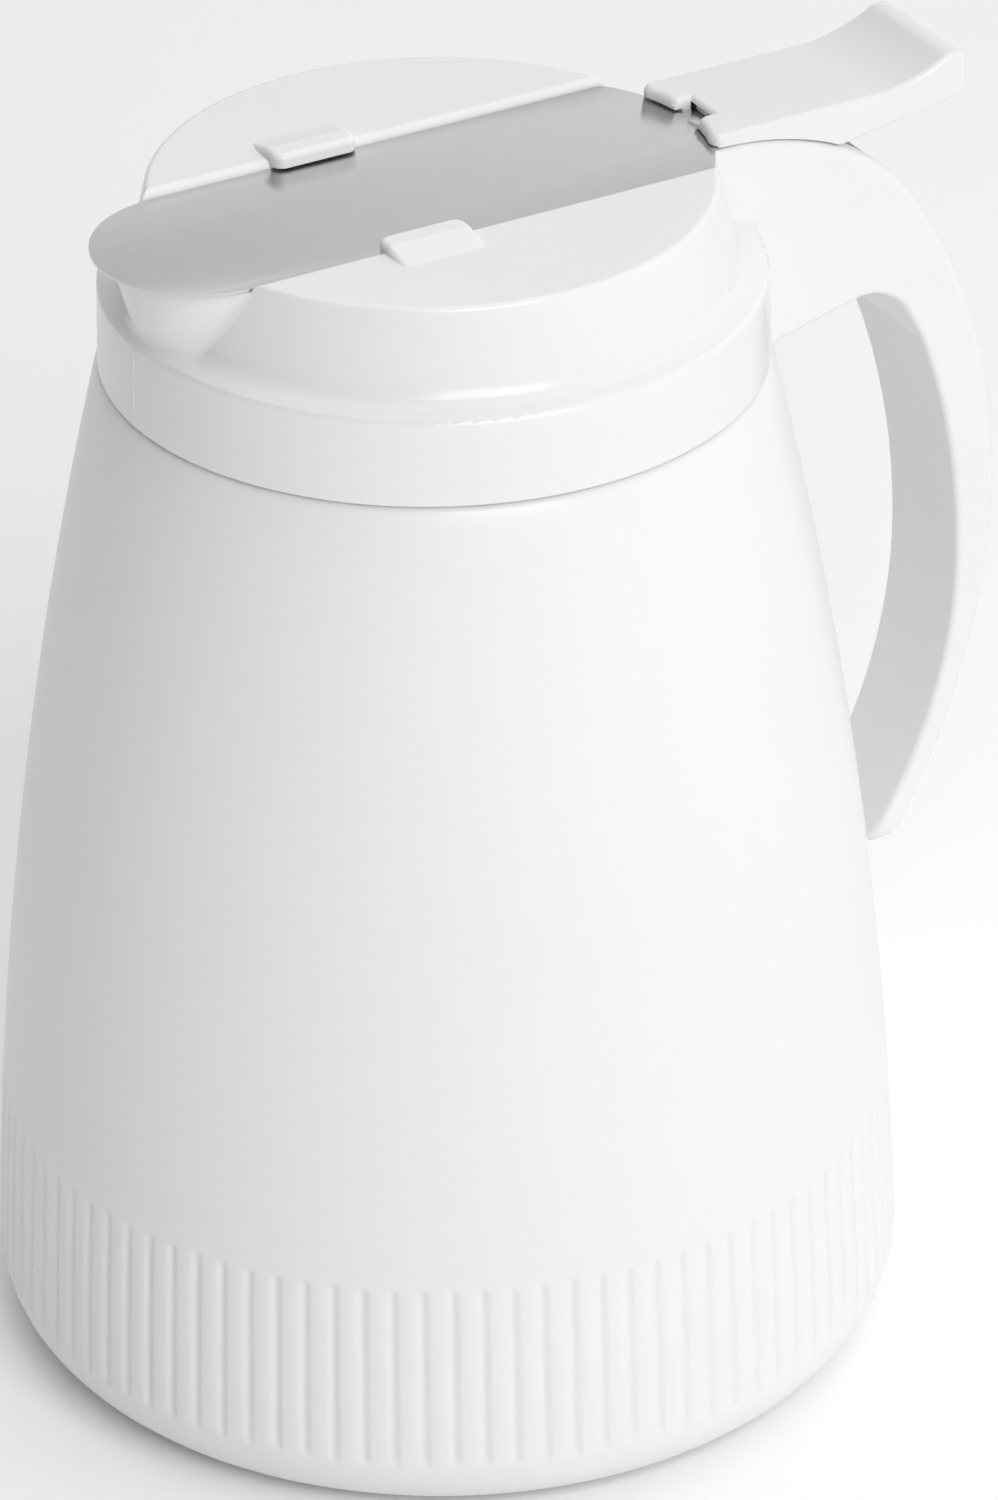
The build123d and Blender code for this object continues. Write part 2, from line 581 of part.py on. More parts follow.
def jar_room():
    """The room that the jar turns in, under the skirt."""
    wall = jar_wall_arc(-NOSE_GAP)
    top = at((wall @ 1).X, SKIRT_LOW_Z)
    return revolve(
        face_of(
            wall,
            Line(wall @ 1, top),
            Line(top, at(0, SKIRT_LOW_Z)),
            Line(at(0, SKIRT_LOW_Z), at(0, JAR_BASE_Z)),
            Line(at(0, JAR_BASE_Z), wall @ 0),
        ),
        axis=Axis.Z,
    )


def make_head():
    """The head over the lever's pivot and the handle below it, as one solid."""
    head = slab(head_side(), HEAD_HALF) & head_front()
    seen = head.edges().filter_by(lambda e: abs(e.center().Y) > GRIP_END_HALF / 2)
    seen = seen.filter_by(lambda e: e.center().X > 0)
    seen = seen.filter_by(lambda e: abs(e.center().Z - HEAD_LOW_Z) > THREAD_SINK)
    return HEAD * fillet(seen, HEAD_EDGE_ROUND) - jar_room()


def spouted_outside():
    """The skirt, shoulder and collar with the spout blended into them."""
    body = top_outside() + spout_cone(0, SPOUT_LOW_Z, CHANNEL_Z)
    seam = body.edges().filter_by(lambda e: e.center().X < SPOUT_HIGH_X and e.length < LID_R)
    seam = seam.filter_by(lambda e: SPOUT_LOW_Z < e.center().Z < CHANNEL_Z - SPOUT_WALL)
    return fillet(seam, SPOUT_BLEND)


def joined_outside():
    """The outside with the head blended into the collar and the skirt at both sides."""
    body = spouted_outside() + make_head()
    joint = body.edges().filter_by(lambda e: abs(abs(e.center().Y) - HEAD_HALF) < HEAD_EDGE_ROUND / 2)
    joint = joint.filter_by(lambda e: 0 < e.center().X < SKIRT_LOW_R)
    joint = joint.filter_by(lambda e: VALLEY_Z < e.center().Z < CHANNEL_Z)
    return fillet(joint, HEAD_BLEND)


def make_top_body():
    body = joined_outside()
    body -= slide_channel()
    body -= top_inside()
    body -= pouring_hole()
    body -= HEAD * lever_pocket()
    body -= HEAD * pin_hole()
    body += tab(1)
    body += tab(-1)
    body += Rot(0, 0, 180) * ridge(SKIRT_BORE_R, THREAD_START_Z, outward=False)
    return body


# ---------------------------------------------------------------- small pieces
def make_seal():
    bore = drum(NECK_BORE_R + SEAL_STEP, NECK_TOP_Z, SEAT_Z)
    return drum(SKIRT_BORE_R - SEAL_SIDE_GAP, NECK_TOP_Z, SEAT_Z) - bore


def make_slide():
    straight = block(
        (SLIDE_NOSE_MID_X, -SLIDE_HALF, CHANNEL_Z), (SLIDE_REAR_X, SLIDE_HALF, SLIDE_TOP_Z)
    )
    rear = drum(SLIDE_REAR_ROUND, CHANNEL_Z, SLIDE_TOP_Z, x=SLIDE_REAR_MID_X)
    tail = straight & rear
    corners = tail.edges().filter_by(Axis.Z).filter_by(lambda e: e.center().X > SLIDE_REAR_MID_X)
    plate = fillet(corners, SLIDE_CORNER_ROUND) + drum(SLIDE_HALF, CHANNEL_Z, SLIDE_TOP_Z, x=SLIDE_NOSE_MID_X)
    nose_side = block(
        (SLIDE_NOSE_MID_X, -SLIDE_HALF, CHANNEL_Z), (SLIDE_REAR_MID_X, SLIDE_HALF, SLIDE_TOP_Z)
    )
    plate += nose_side
    for side in (-1, 1):
        plate -= drum(RELIEF_R, CHANNEL_Z, SLIDE_TOP_Z, x=SLIDE_REAR_X, y=side * (TONGUE_HALF + RELIEF_R))
    hook_back_x = HOOK_X + SLIDE_THICK
    plate += block(
        (SLIDE_REAR_X - SLIDE_THICK, -TONGUE_HALF, CHANNEL_Z), (hook_back_x, TONGUE_HALF, SLIDE_TOP_Z)
    )
    plate += block((HOOK_X, -HOOK_HALF, CHANNEL_Z), (hook_back_x, HOOK_HALF, SLIDE_TOP_Z + HOOK_RISE))
    return plate


def lever_side():
    """Side outline of the lever, from its front over the upturned tail and back."""
    front_x = HEAD_FRONT_X - LEVER_LIP
    under = brow_arc(LEVER_GAP, front_x)
    pad_end = at(LEVER_PAD_END_X, LEVER_TOP_Z)
    crest = at(LEVER_CREST_X, LEVER_CREST_Z)
    both = (crest - pad_end).length ** 2 / (2 * (LEVER_CREST_Z - LEVER_TOP_Z))
    bend = crest + (pad_end - crest) * (LEVER_CREST_R / both)
    tail = FilletPolyline(
        crest,
        at(LEVER_END_X, LEVER_CREST_Z),
        at(LEVER_END_X, LEVER_END_LOW_Z),
        under @ 0,
        radius=LEVER_END_ROUND,
    )
    return face_of(
        Line(under @ 1, at(front_x, LEVER_TOP_Z)),
        Line(at(front_x, LEVER_TOP_Z), pad_end),
        TangentArc(pad_end, bend, tangent=(1, 0, 0)),
        TangentArc(crest, bend, tangent=(-1, 0, 0)),
        tail,
        under,
    )


def lever_leg():
    """Side outline of one of the lever's two legs, without the round boss."""
    return polygon(
        (LEG_FRONT_X, PIVOT_Z),
        (LEG_FRONT_X, LEG_BEND_Z),
        (LEG_HIGH_FRONT_X, LEG_HIGH_Z),
        (LEG_HIGH_FRONT_X, LEVER_TOP_Z - LEVER_EDGE_ROUND),
        (LEG_HIGH_BACK_X, LEVER_TOP_Z - LEVER_EDGE_ROUND),
        (LEG_HIGH_BACK_X, LEG_HIGH_Z),
        (LEG_BACK_X, LEG_BEND_Z),
        (LEG_BACK_X, PIVOT_Z),
    )


def lever_legs():
    """The two legs with their bosses, and the web that joins them in front."""
    inner_y = LEG_OUTER_Y - LEG_THICK
    web = BOSS_R - COIL_R - WIRE_R - SPRING_REST_GAP
    legs = slab(lever_leg(), LEG_OUTER_Y)
    legs += cross_pin(BOSS_R, -LEG_OUTER_Y, LEG_OUTER_Y, PIVOT_X, PIVOT_Z)
    legs -= block(
        (LEG_HIGH_FRONT_X - BOSS_R, -inner_y, PIVOT_Z - 2 * BOSS_R),
        (LEG_BACK_X + BOSS_R, inner_y, LEG_HIGH_Z),
    )
    legs += block(
        (LEG_FRONT_X, -inner_y, PIVOT_Z + LEG_WEB_RISE), (LEG_FRONT_X + web, inner_y, LEG_BEND_Z)
    )
    return legs


def lever_pad():
    """The lever's upper part, open in front for the slide's tongue, with rounded edges."""
    body = HEAD * slab(lever_side(), HEAD_HALF)
    high_z = LID_TOP_Z + LEVER_CREST_Z
    body -= drum(SLIDE_REAR_ROUND - LEVER_LIP, CHANNEL_Z - SLIDE_HALF, high_z, x=SLIDE_REAR_MID_X)
    body -= tongue_notch(high_z)
    upright = body.edges().filter_by(Axis.Z).filter_by(lambda e: e.center().X < LID_R + SLIDE_REAR_REACH)
    body = fillet(upright, LEVER_CORNER_ROUND)
    seams = body.edges().filter_by(Axis.Y).filter_by(lambda e: e.length > HEAD_HALF)
    rim = body.edges().filter_by(lambda e: e.center().Z > LID_TOP_Z or e.center().X > LID_R + LEVER_CREST_X)
    return fillet([e for e in rim if e not in seams], LEVER_EDGE_ROUND)


def tongue_notch(high_z):
    """Room in the lever's front for the slide's tongue."""
    half = TONGUE_HALF + NOTCH_GAP
    low_z = CHANNEL_Z - LEVER_NOSE_DROP - LEVER_LIP
    return block((LID_R - SLIDE_HALF, -half, low_z), (HOOK_X - HOOK_PUSH_GAP, half, high_z))


def hook_room():
    """Room in the lever for the cross piece at the tongue's end."""
    half = HOOK_HALF + SLIDE_SIDE_GAP
    wall_x = HOOK_X - HOOK_PUSH_GAP
    low_z = CHANNEL_Z - LEVER_NOSE_DROP - LEVER_LIP
    return block((wall_x, -half, low_z), (wall_x + HOOK_ROOM, half, SLIDE_TOP_Z + HOOK_RISE + HOOK_ROOM_GAP))


def make_lever():
    nose = HEAD * block(
        (HEAD_FRONT_X, -LEG_OUTER_Y, LEVER_NOSE_LOW_Z),
        (LEG_HIGH_BACK_X, LEG_OUTER_Y, LEVER_TOP_Z - LEVER_EDGE_ROUND),
    )
    body = lever_pad() + nose
    body -= drum(
        SLIDE_REAR_ROUND + POCKET_GAP, CHANNEL_Z - SLIDE_HALF, OVER_SLIDE_Z, x=SLIDE_REAR_MID_X
    )
    body += HEAD * lever_legs()
    body -= tongue_notch(LID_TOP_Z)
    body -= hook_room()
    return body - HEAD * cross_pin(PIN_R + PIN_RUN_GAP, -HEAD_HALF, HEAD_HALF, PIVOT_X, PIVOT_Z)


def make_pin():
    pin = cross_pin(PIN_R, -PIN_HIDDEN_Y + PIN_PROUD_INSET, HEAD_HALF - PIN_PROUD_INSET, PIVOT_X, PIVOT_Z)
    return HEAD * pin


def make_spring():
    """A torsion spring round the pin. Its long leg bears on the web between the lever's legs."""
    steps = round(COIL_TURNS * ARCS_PER_TURN)
    start_y = -COIL_TURNS * COIL_PITCH / 2
    rise = COIL_PITCH / (2 * pi)

    def coil_point(i):
        angle = pi + 2 * pi * i / ARCS_PER_TURN
        y = start_y + COIL_PITCH * i / ARCS_PER_TURN
        return at(PIVOT_X + COIL_R * cos(angle), PIVOT_Z + COIL_R * sin(angle), y)

    def coil_direction(i):
        angle = pi + 2 * pi * i / ARCS_PER_TURN
        return Vector(-COIL_R * sin(angle), rise, COIL_R * cos(angle)).normalized()

    edges = []
    for i in range(steps):
        a, b = coil_point(i), coil_point(i + 1)
        ta, tb = coil_direction(i), coil_direction(i + 1)
        v, t = b - a, ta + tb
        bend = 2 * (1 - ta.dot(tb))
        reach = (-v.dot(t) + sqrt(v.dot(t) ** 2 + bend * v.dot(v))) / bend
        joint = (a + b + (ta - tb) * reach) / 2
        along = ((b - tb * reach) - (a + ta * reach)).normalized()
        edges += [TangentArc(a, joint, tangent=ta), TangentArc(joint, b, tangent=along)]
    first, last = coil_point(0), coil_point(steps)
    lead_in = Line(first - coil_direction(0) * SPRING_LONG_LEG, first)
    lead_out = Line(last, last + coil_direction(steps) * SPRING_SHORT_LEG)
    path = Wire([lead_in, *edges, lead_out])
    print("least gap between the spring's turns:", round(coil_gap(edges), 3))
    section = Plane(path @ 0, z_dir=path % 0) * Circle(WIRE_R)
    return HEAD * sweep(section, path=path)


def coil_gap(edges):
    """Least clear distance between neighbouring turns, measured on points along the wire."""
    points = [edge @ (k / GAP_POINTS) for edge in edges for k in range(GAP_POINTS)]
    half_turn = ARCS_PER_TURN * GAP_POINTS
    least = COIL_PITCH
    for i, p in enumerate(points):
        for q in points[i + half_turn:]:
            least = min(least, (p - q).length - 2 * WIRE_R)
    return least


PIECES = {
    "jar": make_jar,
    "top_body": make_top_body,
    "neck_seal": make_seal,
    "slide_blade": make_slide,
    "thumb_lever": make_lever,
    "lever_pin": make_pin,
    "return_spring": make_spring,
}

os.makedirs("parts", exist_ok=True)
for name, make in PIECES.items():
    piece = make()
    export_step(piece, f"parts/{name}.step")
    print(name, "solids", len(piece.solids()), "volume", round(piece.volume, 1))
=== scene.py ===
import json
import math

import bpy
from mathutils import Matrix, Vector


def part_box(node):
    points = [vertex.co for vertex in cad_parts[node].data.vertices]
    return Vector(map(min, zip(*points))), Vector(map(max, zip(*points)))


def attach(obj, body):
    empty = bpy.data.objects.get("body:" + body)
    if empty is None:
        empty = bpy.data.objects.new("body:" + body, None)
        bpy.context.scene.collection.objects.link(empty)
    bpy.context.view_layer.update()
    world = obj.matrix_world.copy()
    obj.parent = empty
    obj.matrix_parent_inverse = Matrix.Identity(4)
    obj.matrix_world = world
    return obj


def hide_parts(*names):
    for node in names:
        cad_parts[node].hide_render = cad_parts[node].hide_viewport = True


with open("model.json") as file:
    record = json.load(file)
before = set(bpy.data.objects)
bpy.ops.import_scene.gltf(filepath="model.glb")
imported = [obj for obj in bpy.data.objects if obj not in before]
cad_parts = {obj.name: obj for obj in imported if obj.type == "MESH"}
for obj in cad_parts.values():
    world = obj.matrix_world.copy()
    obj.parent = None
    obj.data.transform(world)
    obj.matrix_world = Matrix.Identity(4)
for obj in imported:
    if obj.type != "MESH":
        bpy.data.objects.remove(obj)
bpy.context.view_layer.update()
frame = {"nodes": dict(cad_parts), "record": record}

bl_info = {
    "name": "Syrup Dispenser",
    "version": (1, 0, 0),
    "blender": (4, 5, 0),
    "location": "3D View > Sidebar > Dispenser",
    "description": "Models and finishes a syrup dispenser's pieces, and sets up its studio",
    "category": "Object",
}

# A syrup dispenser: a translucent ribbed jar, and a white screw-on top with a spout, a grip
# handle, a steel slide and a thumb lever. Metres. +Z is up, -X is the spout, +X is the handle.

MM = 0.001
SKIRT_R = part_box("top_body")[1].y
SKIRT_HEIGHT = 12.3 * MM     # from the skirt's lower edge to its upper edge
SEAL_TO_SKIRT_TOP = 1.3 * MM
SKIRT_DRAFT = 0.3 * MM       # how far the skirt leans in over its height
SKIRT_EDGE_ROUND = 1.0 * MM
SKIRT_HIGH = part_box("neck_seal")[1].z + SEAL_TO_SKIRT_TOP
SKIRT_LOW = SKIRT_HIGH - SKIRT_HEIGHT

# The slide's round rear edge, and what is cut from the lever's front above it.
TONGUE_REACH = 2.6 * MM      # from that edge to the back of the cross piece
SLIDE_REAR_ROUND = 24.0 * MM
LEVER_LIP = 0.75 * MM        # how far inside that edge the cut stops
PLATE_CUT = 1.6 * MM         # height of the cut, half of it above the cross piece

# The jar's outline: radius and height where its wall starts, at its waist and under its shoulder.
BASE_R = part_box("jar")[1].x
FOOT_ROUND = 12.0 * MM
WALL_LOW = (BASE_R, FOOT_ROUND)
WALL_WAIST = (60.5 * MM, 75.0 * MM)
WALL_HIGH = (47.2 * MM, 150.4 * MM)
WALL = 1.7 * MM
FOOT_WIDTH = 4.0 * MM        # flat ring that the jar stands on
PUNT = 2.6 * MM              # how far the middle of the base is pushed up
BASE_THICK = 2.2 * MM
SHOULDER_ROUND = 1.6 * MM
SHOULDER_DRAFT = 0.4 * MM    # how far the shoulder leans in above the wall
NECK_HEIGHT = 9.85 * MM
NECK_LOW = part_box("neck_seal")[0].z - NECK_HEIGHT
NECK_CUT = 0.05 * MM         # the neck's own solid is cut this far above its root
NECK_R = 42.9 * MM
NECK_BORE_R = 41.0 * MM
RIBS = 96
RIBS_LOW, RIBS_HIGH = 10.2 * MM, 39.8 * MM
ROW_ABOVE_RIB_END = 14.0 * MM

# Points closer than this are one point, in the CAD meshes and in what is modelled here.
CAD_MERGE = 0.002 * MM
MERGE = 0.005 * MM

# Edges sharper than this stay crisp.
JAR_SMOOTH_DEG = 35
EDGE_SMOOTH_DEG = 32
LINE_SMOOTH_DEG = 40


# ------------------------------------------------------------------ node helpers
def new_material(name):
    """An empty node material with its shader, and the object coordinates that patterns read."""
    made = bpy.data.materials.new(name)
    made.use_nodes = True
    tree = made.node_tree
    shader = tree.nodes["Principled BSDF"]
    place = tree.nodes.new("ShaderNodeTexCoord").outputs["Object"]
    return made, tree, shader, place


def mapped(tree, place, scale):
    node = tree.nodes.new("ShaderNodeMapping")
    node.inputs["Scale"].default_value = scale
    tree.links.new(place, node.inputs["Vector"])
    return node.outputs["Vector"]


def noise(tree, place, scale, detail=2.0, rough=0.5):
    node = tree.nodes.new("ShaderNodeTexNoise")
    node.inputs["Scale"].default_value = scale
    node.inputs["Detail"].default_value = detail
    node.inputs["Roughness"].default_value = rough
    tree.links.new(place, node.inputs["Vector"])
    return node.outputs[0]


def remap(tree, value, low, high, new_low, new_high):
    node = tree.nodes.new("ShaderNodeMapRange")
    for socket, number in zip(node.inputs[1:5], (low, high, new_low, new_high)):
        socket.default_value = number
    tree.links.new(value, node.inputs[0])
    return node.outputs[0]


def blend_colours(tree, share, first, second):
    node = tree.nodes.new("ShaderNodeMix")
    node.data_type = "RGBA"
    for socket, value in ((node.inputs[6], first), (node.inputs[7], second)):
        if isinstance(value, bpy.types.NodeSocket):
            tree.links.new(value, socket)
        else:
            socket.default_value = (*value, 1)
    tree.links.new(share, node.inputs[0])
    return node.outputs[2]


def bump(tree, height, depth, strength=1.0, under=None):
    node = tree.nodes.new("ShaderNodeBump")
    node.inputs["Strength"].default_value = strength
    node.inputs["Distance"].default_value = depth
    tree.links.new(height, node.inputs["Height"])
    if under is not None:
        tree.links.new(under, node.inputs["Normal"])
    return node.outputs["Normal"]


# ------------------------------------------------------------------ finishes
def jar_plastic(look):
    """Natural blow-moulded plastic: milky, softly glossy, faintly wavy, with a few specks."""
    made, tree, shader, place = new_material("jar_plastic")
    cloud = noise(tree, place, 22, detail=1.5)
    tone = blend_colours(tree, cloud, look.jar_colour, look.jar_shade)
    cells = tree.nodes.new("ShaderNodeTexVoronoi")
    cells.inputs["Scale"].default_value = 55
    tree.links.new(place, cells.inputs["Vector"])
    speck = remap(tree, cells.outputs["Distance"], 0.016, 0.026, 1, 0)
    rare = remap(tree, noise(tree, place, 31), 0.60, 0.62, 0, 0.5)
    both = tree.nodes.new("ShaderNodeMath")
    both.operation = "MULTIPLY"
    tree.links.new(speck, both.inputs[0])
    tree.links.new(rare, both.inputs[1])
    tone = blend_colours(tree, both.outputs[0], tone, look.speck_colour)
    tree.links.new(tone, shader.inputs["Base Color"])
    fine = noise(tree, place, 900, detail=3)
    tree.links.new(remap(tree, fine, 0.3, 0.7, 0.30, 0.38), shader.inputs["Roughness"])
    waves = bump(tree, noise(tree, place, 70, detail=1), 0.35 * MM, 0.35)
    tree.links.new(bump(tree, fine, 0.02 * MM, 0.4, waves), shader.inputs["Normal"])
    shader.inputs["Subsurface Weight"].default_value = 0.5
    shader.inputs["Subsurface Radius"].default_value = (1.0, 0.98, 0.94)
    shader.inputs["Subsurface Scale"].default_value = 3 * MM
    shader.inputs["IOR"].default_value = 1.5
    return made


def moulded_white(look, name, colour, shade):
    """Glossy injection-moulded plastic with faint flow marks."""
    made, tree, shader, place = new_material(name)
    flow = noise(tree, mapped(tree, place, (1, 1, 0.45)), 38, detail=1.5)
    tree.links.new(blend_colours(tree, flow, colour, shade), shader.inputs["Base Color"])
    fine = noise(tree, place, 1400, detail=3)
    low = look.plastic_roughness
    tree.links.new(remap(tree, fine, 0.3, 0.7, low, low + 0.06), shader.inputs["Roughness"])
    waves = bump(tree, noise(tree, place, 55, detail=1), 0.15 * MM, 0.25)
    tree.links.new(bump(tree, fine, 0.01 * MM, 0.3, waves), shader.inputs["Normal"])
    shader.inputs["Subsurface Weight"].default_value = 0.15
    shader.inputs["Subsurface Radius"].default_value = (1.0, 1.0, 1.0)
    shader.inputs["Subsurface Scale"].default_value = 1.2 * MM
    return made


def satin_steel(look, name, along=(18, 1600, 1600), spread=0.03):
    """Smooth satin stainless sheet, with a very faint grain along one axis."""
    made, tree, shader, place = new_material(name)
    grain = noise(tree, mapped(tree, place, along), 1, detail=4, rough=0.65)
    cloud = noise(tree, place, 40, detail=1)
    light = tuple(look.steel_colour)
    dark = tuple(c * 0.985 for c in light)
    brushed = blend_colours(tree, remap(tree, grain, 0.35, 0.65, 0, 1), dark, light)
    tree.links.new(brushed, shader.inputs["Base Color"])
    shader.inputs["Metallic"].default_value = 1.0
    rough = tree.nodes.new("ShaderNodeMath")
    rough.operation = "ADD"
    low = look.steel_roughness
    tree.links.new(remap(tree, grain, 0.3, 0.7, low, low + spread), rough.inputs[0])
    tree.links.new(remap(tree, cloud, 0.3, 0.7, 0, 0.02), rough.inputs[1])
    tree.links.new(rough.outputs[0], shader.inputs["Roughness"])
    tree.links.new(bump(tree, grain, 0.001 * MM, 0.5), shader.inputs["Normal"])
    return made


def seal_rubber():
    """Matt food-safe elastomer."""
    made, tree, shader, place = new_material("seal_rubber")
    grain = noise(tree, place, 700, detail=3)
    tone = blend_colours(tree, grain, (0.62, 0.62, 0.60), (0.55, 0.55, 0.53))
    tree.links.new(tone, shader.inputs["Base Color"])
    tree.links.new(remap(tree, grain, 0.3, 0.7, 0.55, 0.7), shader.inputs["Roughness"])
    tree.links.new(bump(tree, grain, 0.02 * MM, 0.5), shader.inputs["Normal"])
    return made


def pale_floor():
    """Matt pale paper, a little uneven in tone."""
    made, tree, shader, place = new_material("studio_floor")
    grain = noise(tree, place, 9, detail=2)
    tone = blend_colours(tree, grain, (0.97, 0.97, 0.97), (0.96, 0.96, 0.96))
    tree.links.new(tone, shader.inputs["Base Color"])
    shader.inputs["Roughness"].default_value = 0.9
    return made


# ------------------------------------------------------------------ mesh helpers
def only(piece):
    """Selects this one object."""
    bpy.ops.object.select_all(action="DESELECT")
    piece.select_set(True)
    bpy.context.view_layer.objects.active = piece


def copy_of(node, name):
    """A separate piece with a copy of a node's mesh, its loose triangles joined."""
    piece = bpy.data.objects.new(name, frame["nodes"][node].data.copy())
    bpy.context.scene.collection.objects.link(piece)
    only(piece)
    bpy.ops.mesh.customdata_custom_splitnormals_clear()
    bpy.ops.object.mode_set(mode="EDIT")
    bpy.ops.mesh.select_all(action="SELECT")
    bpy.ops.mesh.remove_doubles(threshold=CAD_MERGE)
    bpy.ops.object.mode_set(mode="OBJECT")
    return piece


def dress(piece, material):
    piece.data.materials.clear()
    piece.data.materials.append(material)


def stand_for(piece, node):
    """The piece shows in place of a node, on the node's body."""
    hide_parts(node)
    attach(piece, BODY_OF[node])


BODY_OF = {
    node: body for body, nodes in frame["record"]["behaviour"]["bodies"].items() for node in nodes
}


def ease_edges(piece, width, segments=2, flat_deg=0.6, sharp_deg=EDGE_SMOOTH_DEG):
    """Rounds every sharp edge a little, as a mould or a tumbler leaves it."""
    only(piece)
    bpy.ops.object.mode_set(mode="EDIT")
    bpy.ops.mesh.select_all(action="SELECT")
    bpy.ops.mesh.dissolve_limited(angle_limit=math.radians(flat_deg))
    bpy.ops.object.mode_set(mode="OBJECT")
    bevel = piece.modifiers.new("eased edges", "BEVEL")
    bevel.width = width
    bevel.segments = segments
    bevel.limit_method = "ANGLE"
    bevel.angle_limit = math.radians(sharp_deg)
    bevel.use_clamp_overlap = True
    bevel.harden_normals = False
    bpy.ops.object.modifier_apply(modifier=bevel.name)
    bpy.ops.object.shade_smooth_by_angle(angle=math.radians(sharp_deg))


def trimmed_lever():
    """The lever without the two thin plates that its solid leaves over the slide's rear edge."""
    piece = copy_of("thumb_lever", "trimmed_lever")
    slide_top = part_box("slide_blade")[1]
    middle_x = slide_top.x - TONGUE_REACH - SLIDE_REAR_ROUND
    bpy.ops.object.select_all(action="DESELECT")
    bpy.ops.mesh.primitive_cylinder_add(
        vertices=256, radius=SLIDE_REAR_ROUND - LEVER_LIP, depth=PLATE_CUT,
        location=(middle_x, 0, slide_top.z),
    )
    cutter = bpy.context.active_object
    only(piece)
    cut = piece.modifiers.new("plates", "BOOLEAN")
    cut.operation = "DIFFERENCE"
    cut.solver = "EXACT"
    cut.object = cutter
    bpy.ops.object.modifier_apply(modifier=cut.name)
    only(cutter)
    bpy.ops.object.delete()
    only(piece)
    bpy.ops.object.shade_smooth_by_angle(angle=math.radians(EDGE_SMOOTH_DEG))
    return piece


def skirt_line(radius):
    """The fine raised line that the mould's halves leave down the front of the skirt."""
    low_z, high_z = SKIRT_LOW + radius, SKIRT_HIGH - SKIRT_EDGE_ROUND
    high_x = SKIRT_R - SKIRT_DRAFT * (high_z - SKIRT_LOW) / SKIRT_HEIGHT
    line = chain([(-SKIRT_R, low_z), (-high_x, high_z)], "skirt_mould_line")
    bpy.ops.object.mode_set(mode="OBJECT")
    bpy.ops.object.convert(target="CURVE")
    line.data.bevel_depth = radius
    line.data.bevel_resolution = 2
    line.data.use_fill_caps = True
    bpy.ops.object.convert(target="MESH")
    bpy.ops.object.mode_set(mode="EDIT")
    bpy.ops.mesh.select_all(action="SELECT")
    bpy.ops.mesh.remove_doubles(threshold=MERGE)
    bpy.ops.mesh.normals_make_consistent(inside=False)
    bpy.ops.object.mode_set(mode="OBJECT")
    bpy.ops.object.shade_smooth_by_angle(angle=math.radians(LINE_SMOOTH_DEG))
    return line


# ------------------------------------------------------------------ the jar
def circle_through(a, b, c):
    """Centre and radius of the circle through three points."""
    ab, ac = b - a, c - a
    turn = 2 * (ab.x * ac.y - ab.y * ac.x)
    x = (ac.y * ab.length_squared - ab.y * ac.length_squared) / turn
    y = (ab.x * ac.length_squared - ac.x * ab.length_squared) / turn
    return a + Vector((x, y)), math.hypot(x, y)


def wall_radius(z, inset=0.0):
    """The wall's radius at height z. Its long side is one arc."""
    middle, radius = circle_through(*(Vector(point) for point in (WALL_LOW, WALL_WAIST, WALL_HIGH)))
    return middle.x + math.sqrt((radius - inset) ** 2 - (z - middle.y) ** 2)


def bend(middle, radius, start_deg, end_deg, steps):
    """Points along an arc, its start left out."""
    points = []
    for i in range(1, steps + 1):
        angle = math.radians(start_deg + (end_deg - start_deg) * i / steps)
        points.append((middle[0] + radius * math.cos(angle), middle[1] + radius * math.sin(angle)))
    return points


def jar_outline(look):
    """Half of the jar's section, from the middle of its base round to the middle of its floor."""
    foot = (BASE_R - FOOT_ROUND, FOOT_ROUND)
    ring_in = foot[0] - FOOT_WIDTH
    points = [(0, PUNT), (ring_in - PUNT, PUNT), (ring_in, 0), (foot[0], 0)]
    points += bend(foot, FOOT_ROUND, -90, -10, 10)
    points += bend(foot, FOOT_ROUND, -10, 0, 5)
    end = look.rib_end
    low, high = RIBS_LOW + end, RIBS_HIGH - end
    heights = [FOOT_ROUND + (low + ROW_ABOVE_RIB_END - FOOT_ROUND) * i / 4 for i in range(1, 5)]
    heights += [high - (high - heights[-1]) * i / 4 for i in (3, 2, 1, 0)]
    heights += [high + 1.5 * end * i / 8 for i in range(1, 9)]
    top = WALL_HIGH[1]
    heights += [heights[-1] + (top - heights[-1]) * i / 12 for i in range(1, 13)]
    points += [(wall_radius(z), z) for z in heights]
    ledge = (WALL_HIGH[0] - SHOULDER_ROUND - SHOULDER_DRAFT, NECK_LOW - SHOULDER_ROUND)
    points += bend(ledge, SHOULDER_ROUND, 0, 90, 5)
    points += [(NECK_R, NECK_LOW), (NECK_BORE_R, NECK_LOW), (NECK_BORE_R, NECK_LOW - SHOULDER_ROUND)]
    points += [(wall_radius(z, WALL), z) for z in (top - (top - FOOT_ROUND) * i / 10 for i in range(11))]
    floor_z = PUNT + BASE_THICK
    inner = FOOT_ROUND - WALL
    floor_deg = -math.degrees(math.asin((FOOT_ROUND - floor_z) / inner))
    points += bend(foot, inner, 0, floor_deg, 5)
    return points + [(0, floor_z)]


def rib_depth(across, z, look):
    """How deep a groove is at this share of the ribs' spacing from its middle, at height z."""
    if abs(across) >= look.groove_share or not RIBS_LOW < z < RIBS_HIGH:
        return 0.0
    side = math.cos(math.pi / 2 * across / look.groove_share) ** 2
    ends = min(z - RIBS_LOW, RIBS_HIGH - z) / look.rib_end
    return look.groove_depth * side * math.sin(math.pi / 2 * min(ends, 1.0)) ** 2


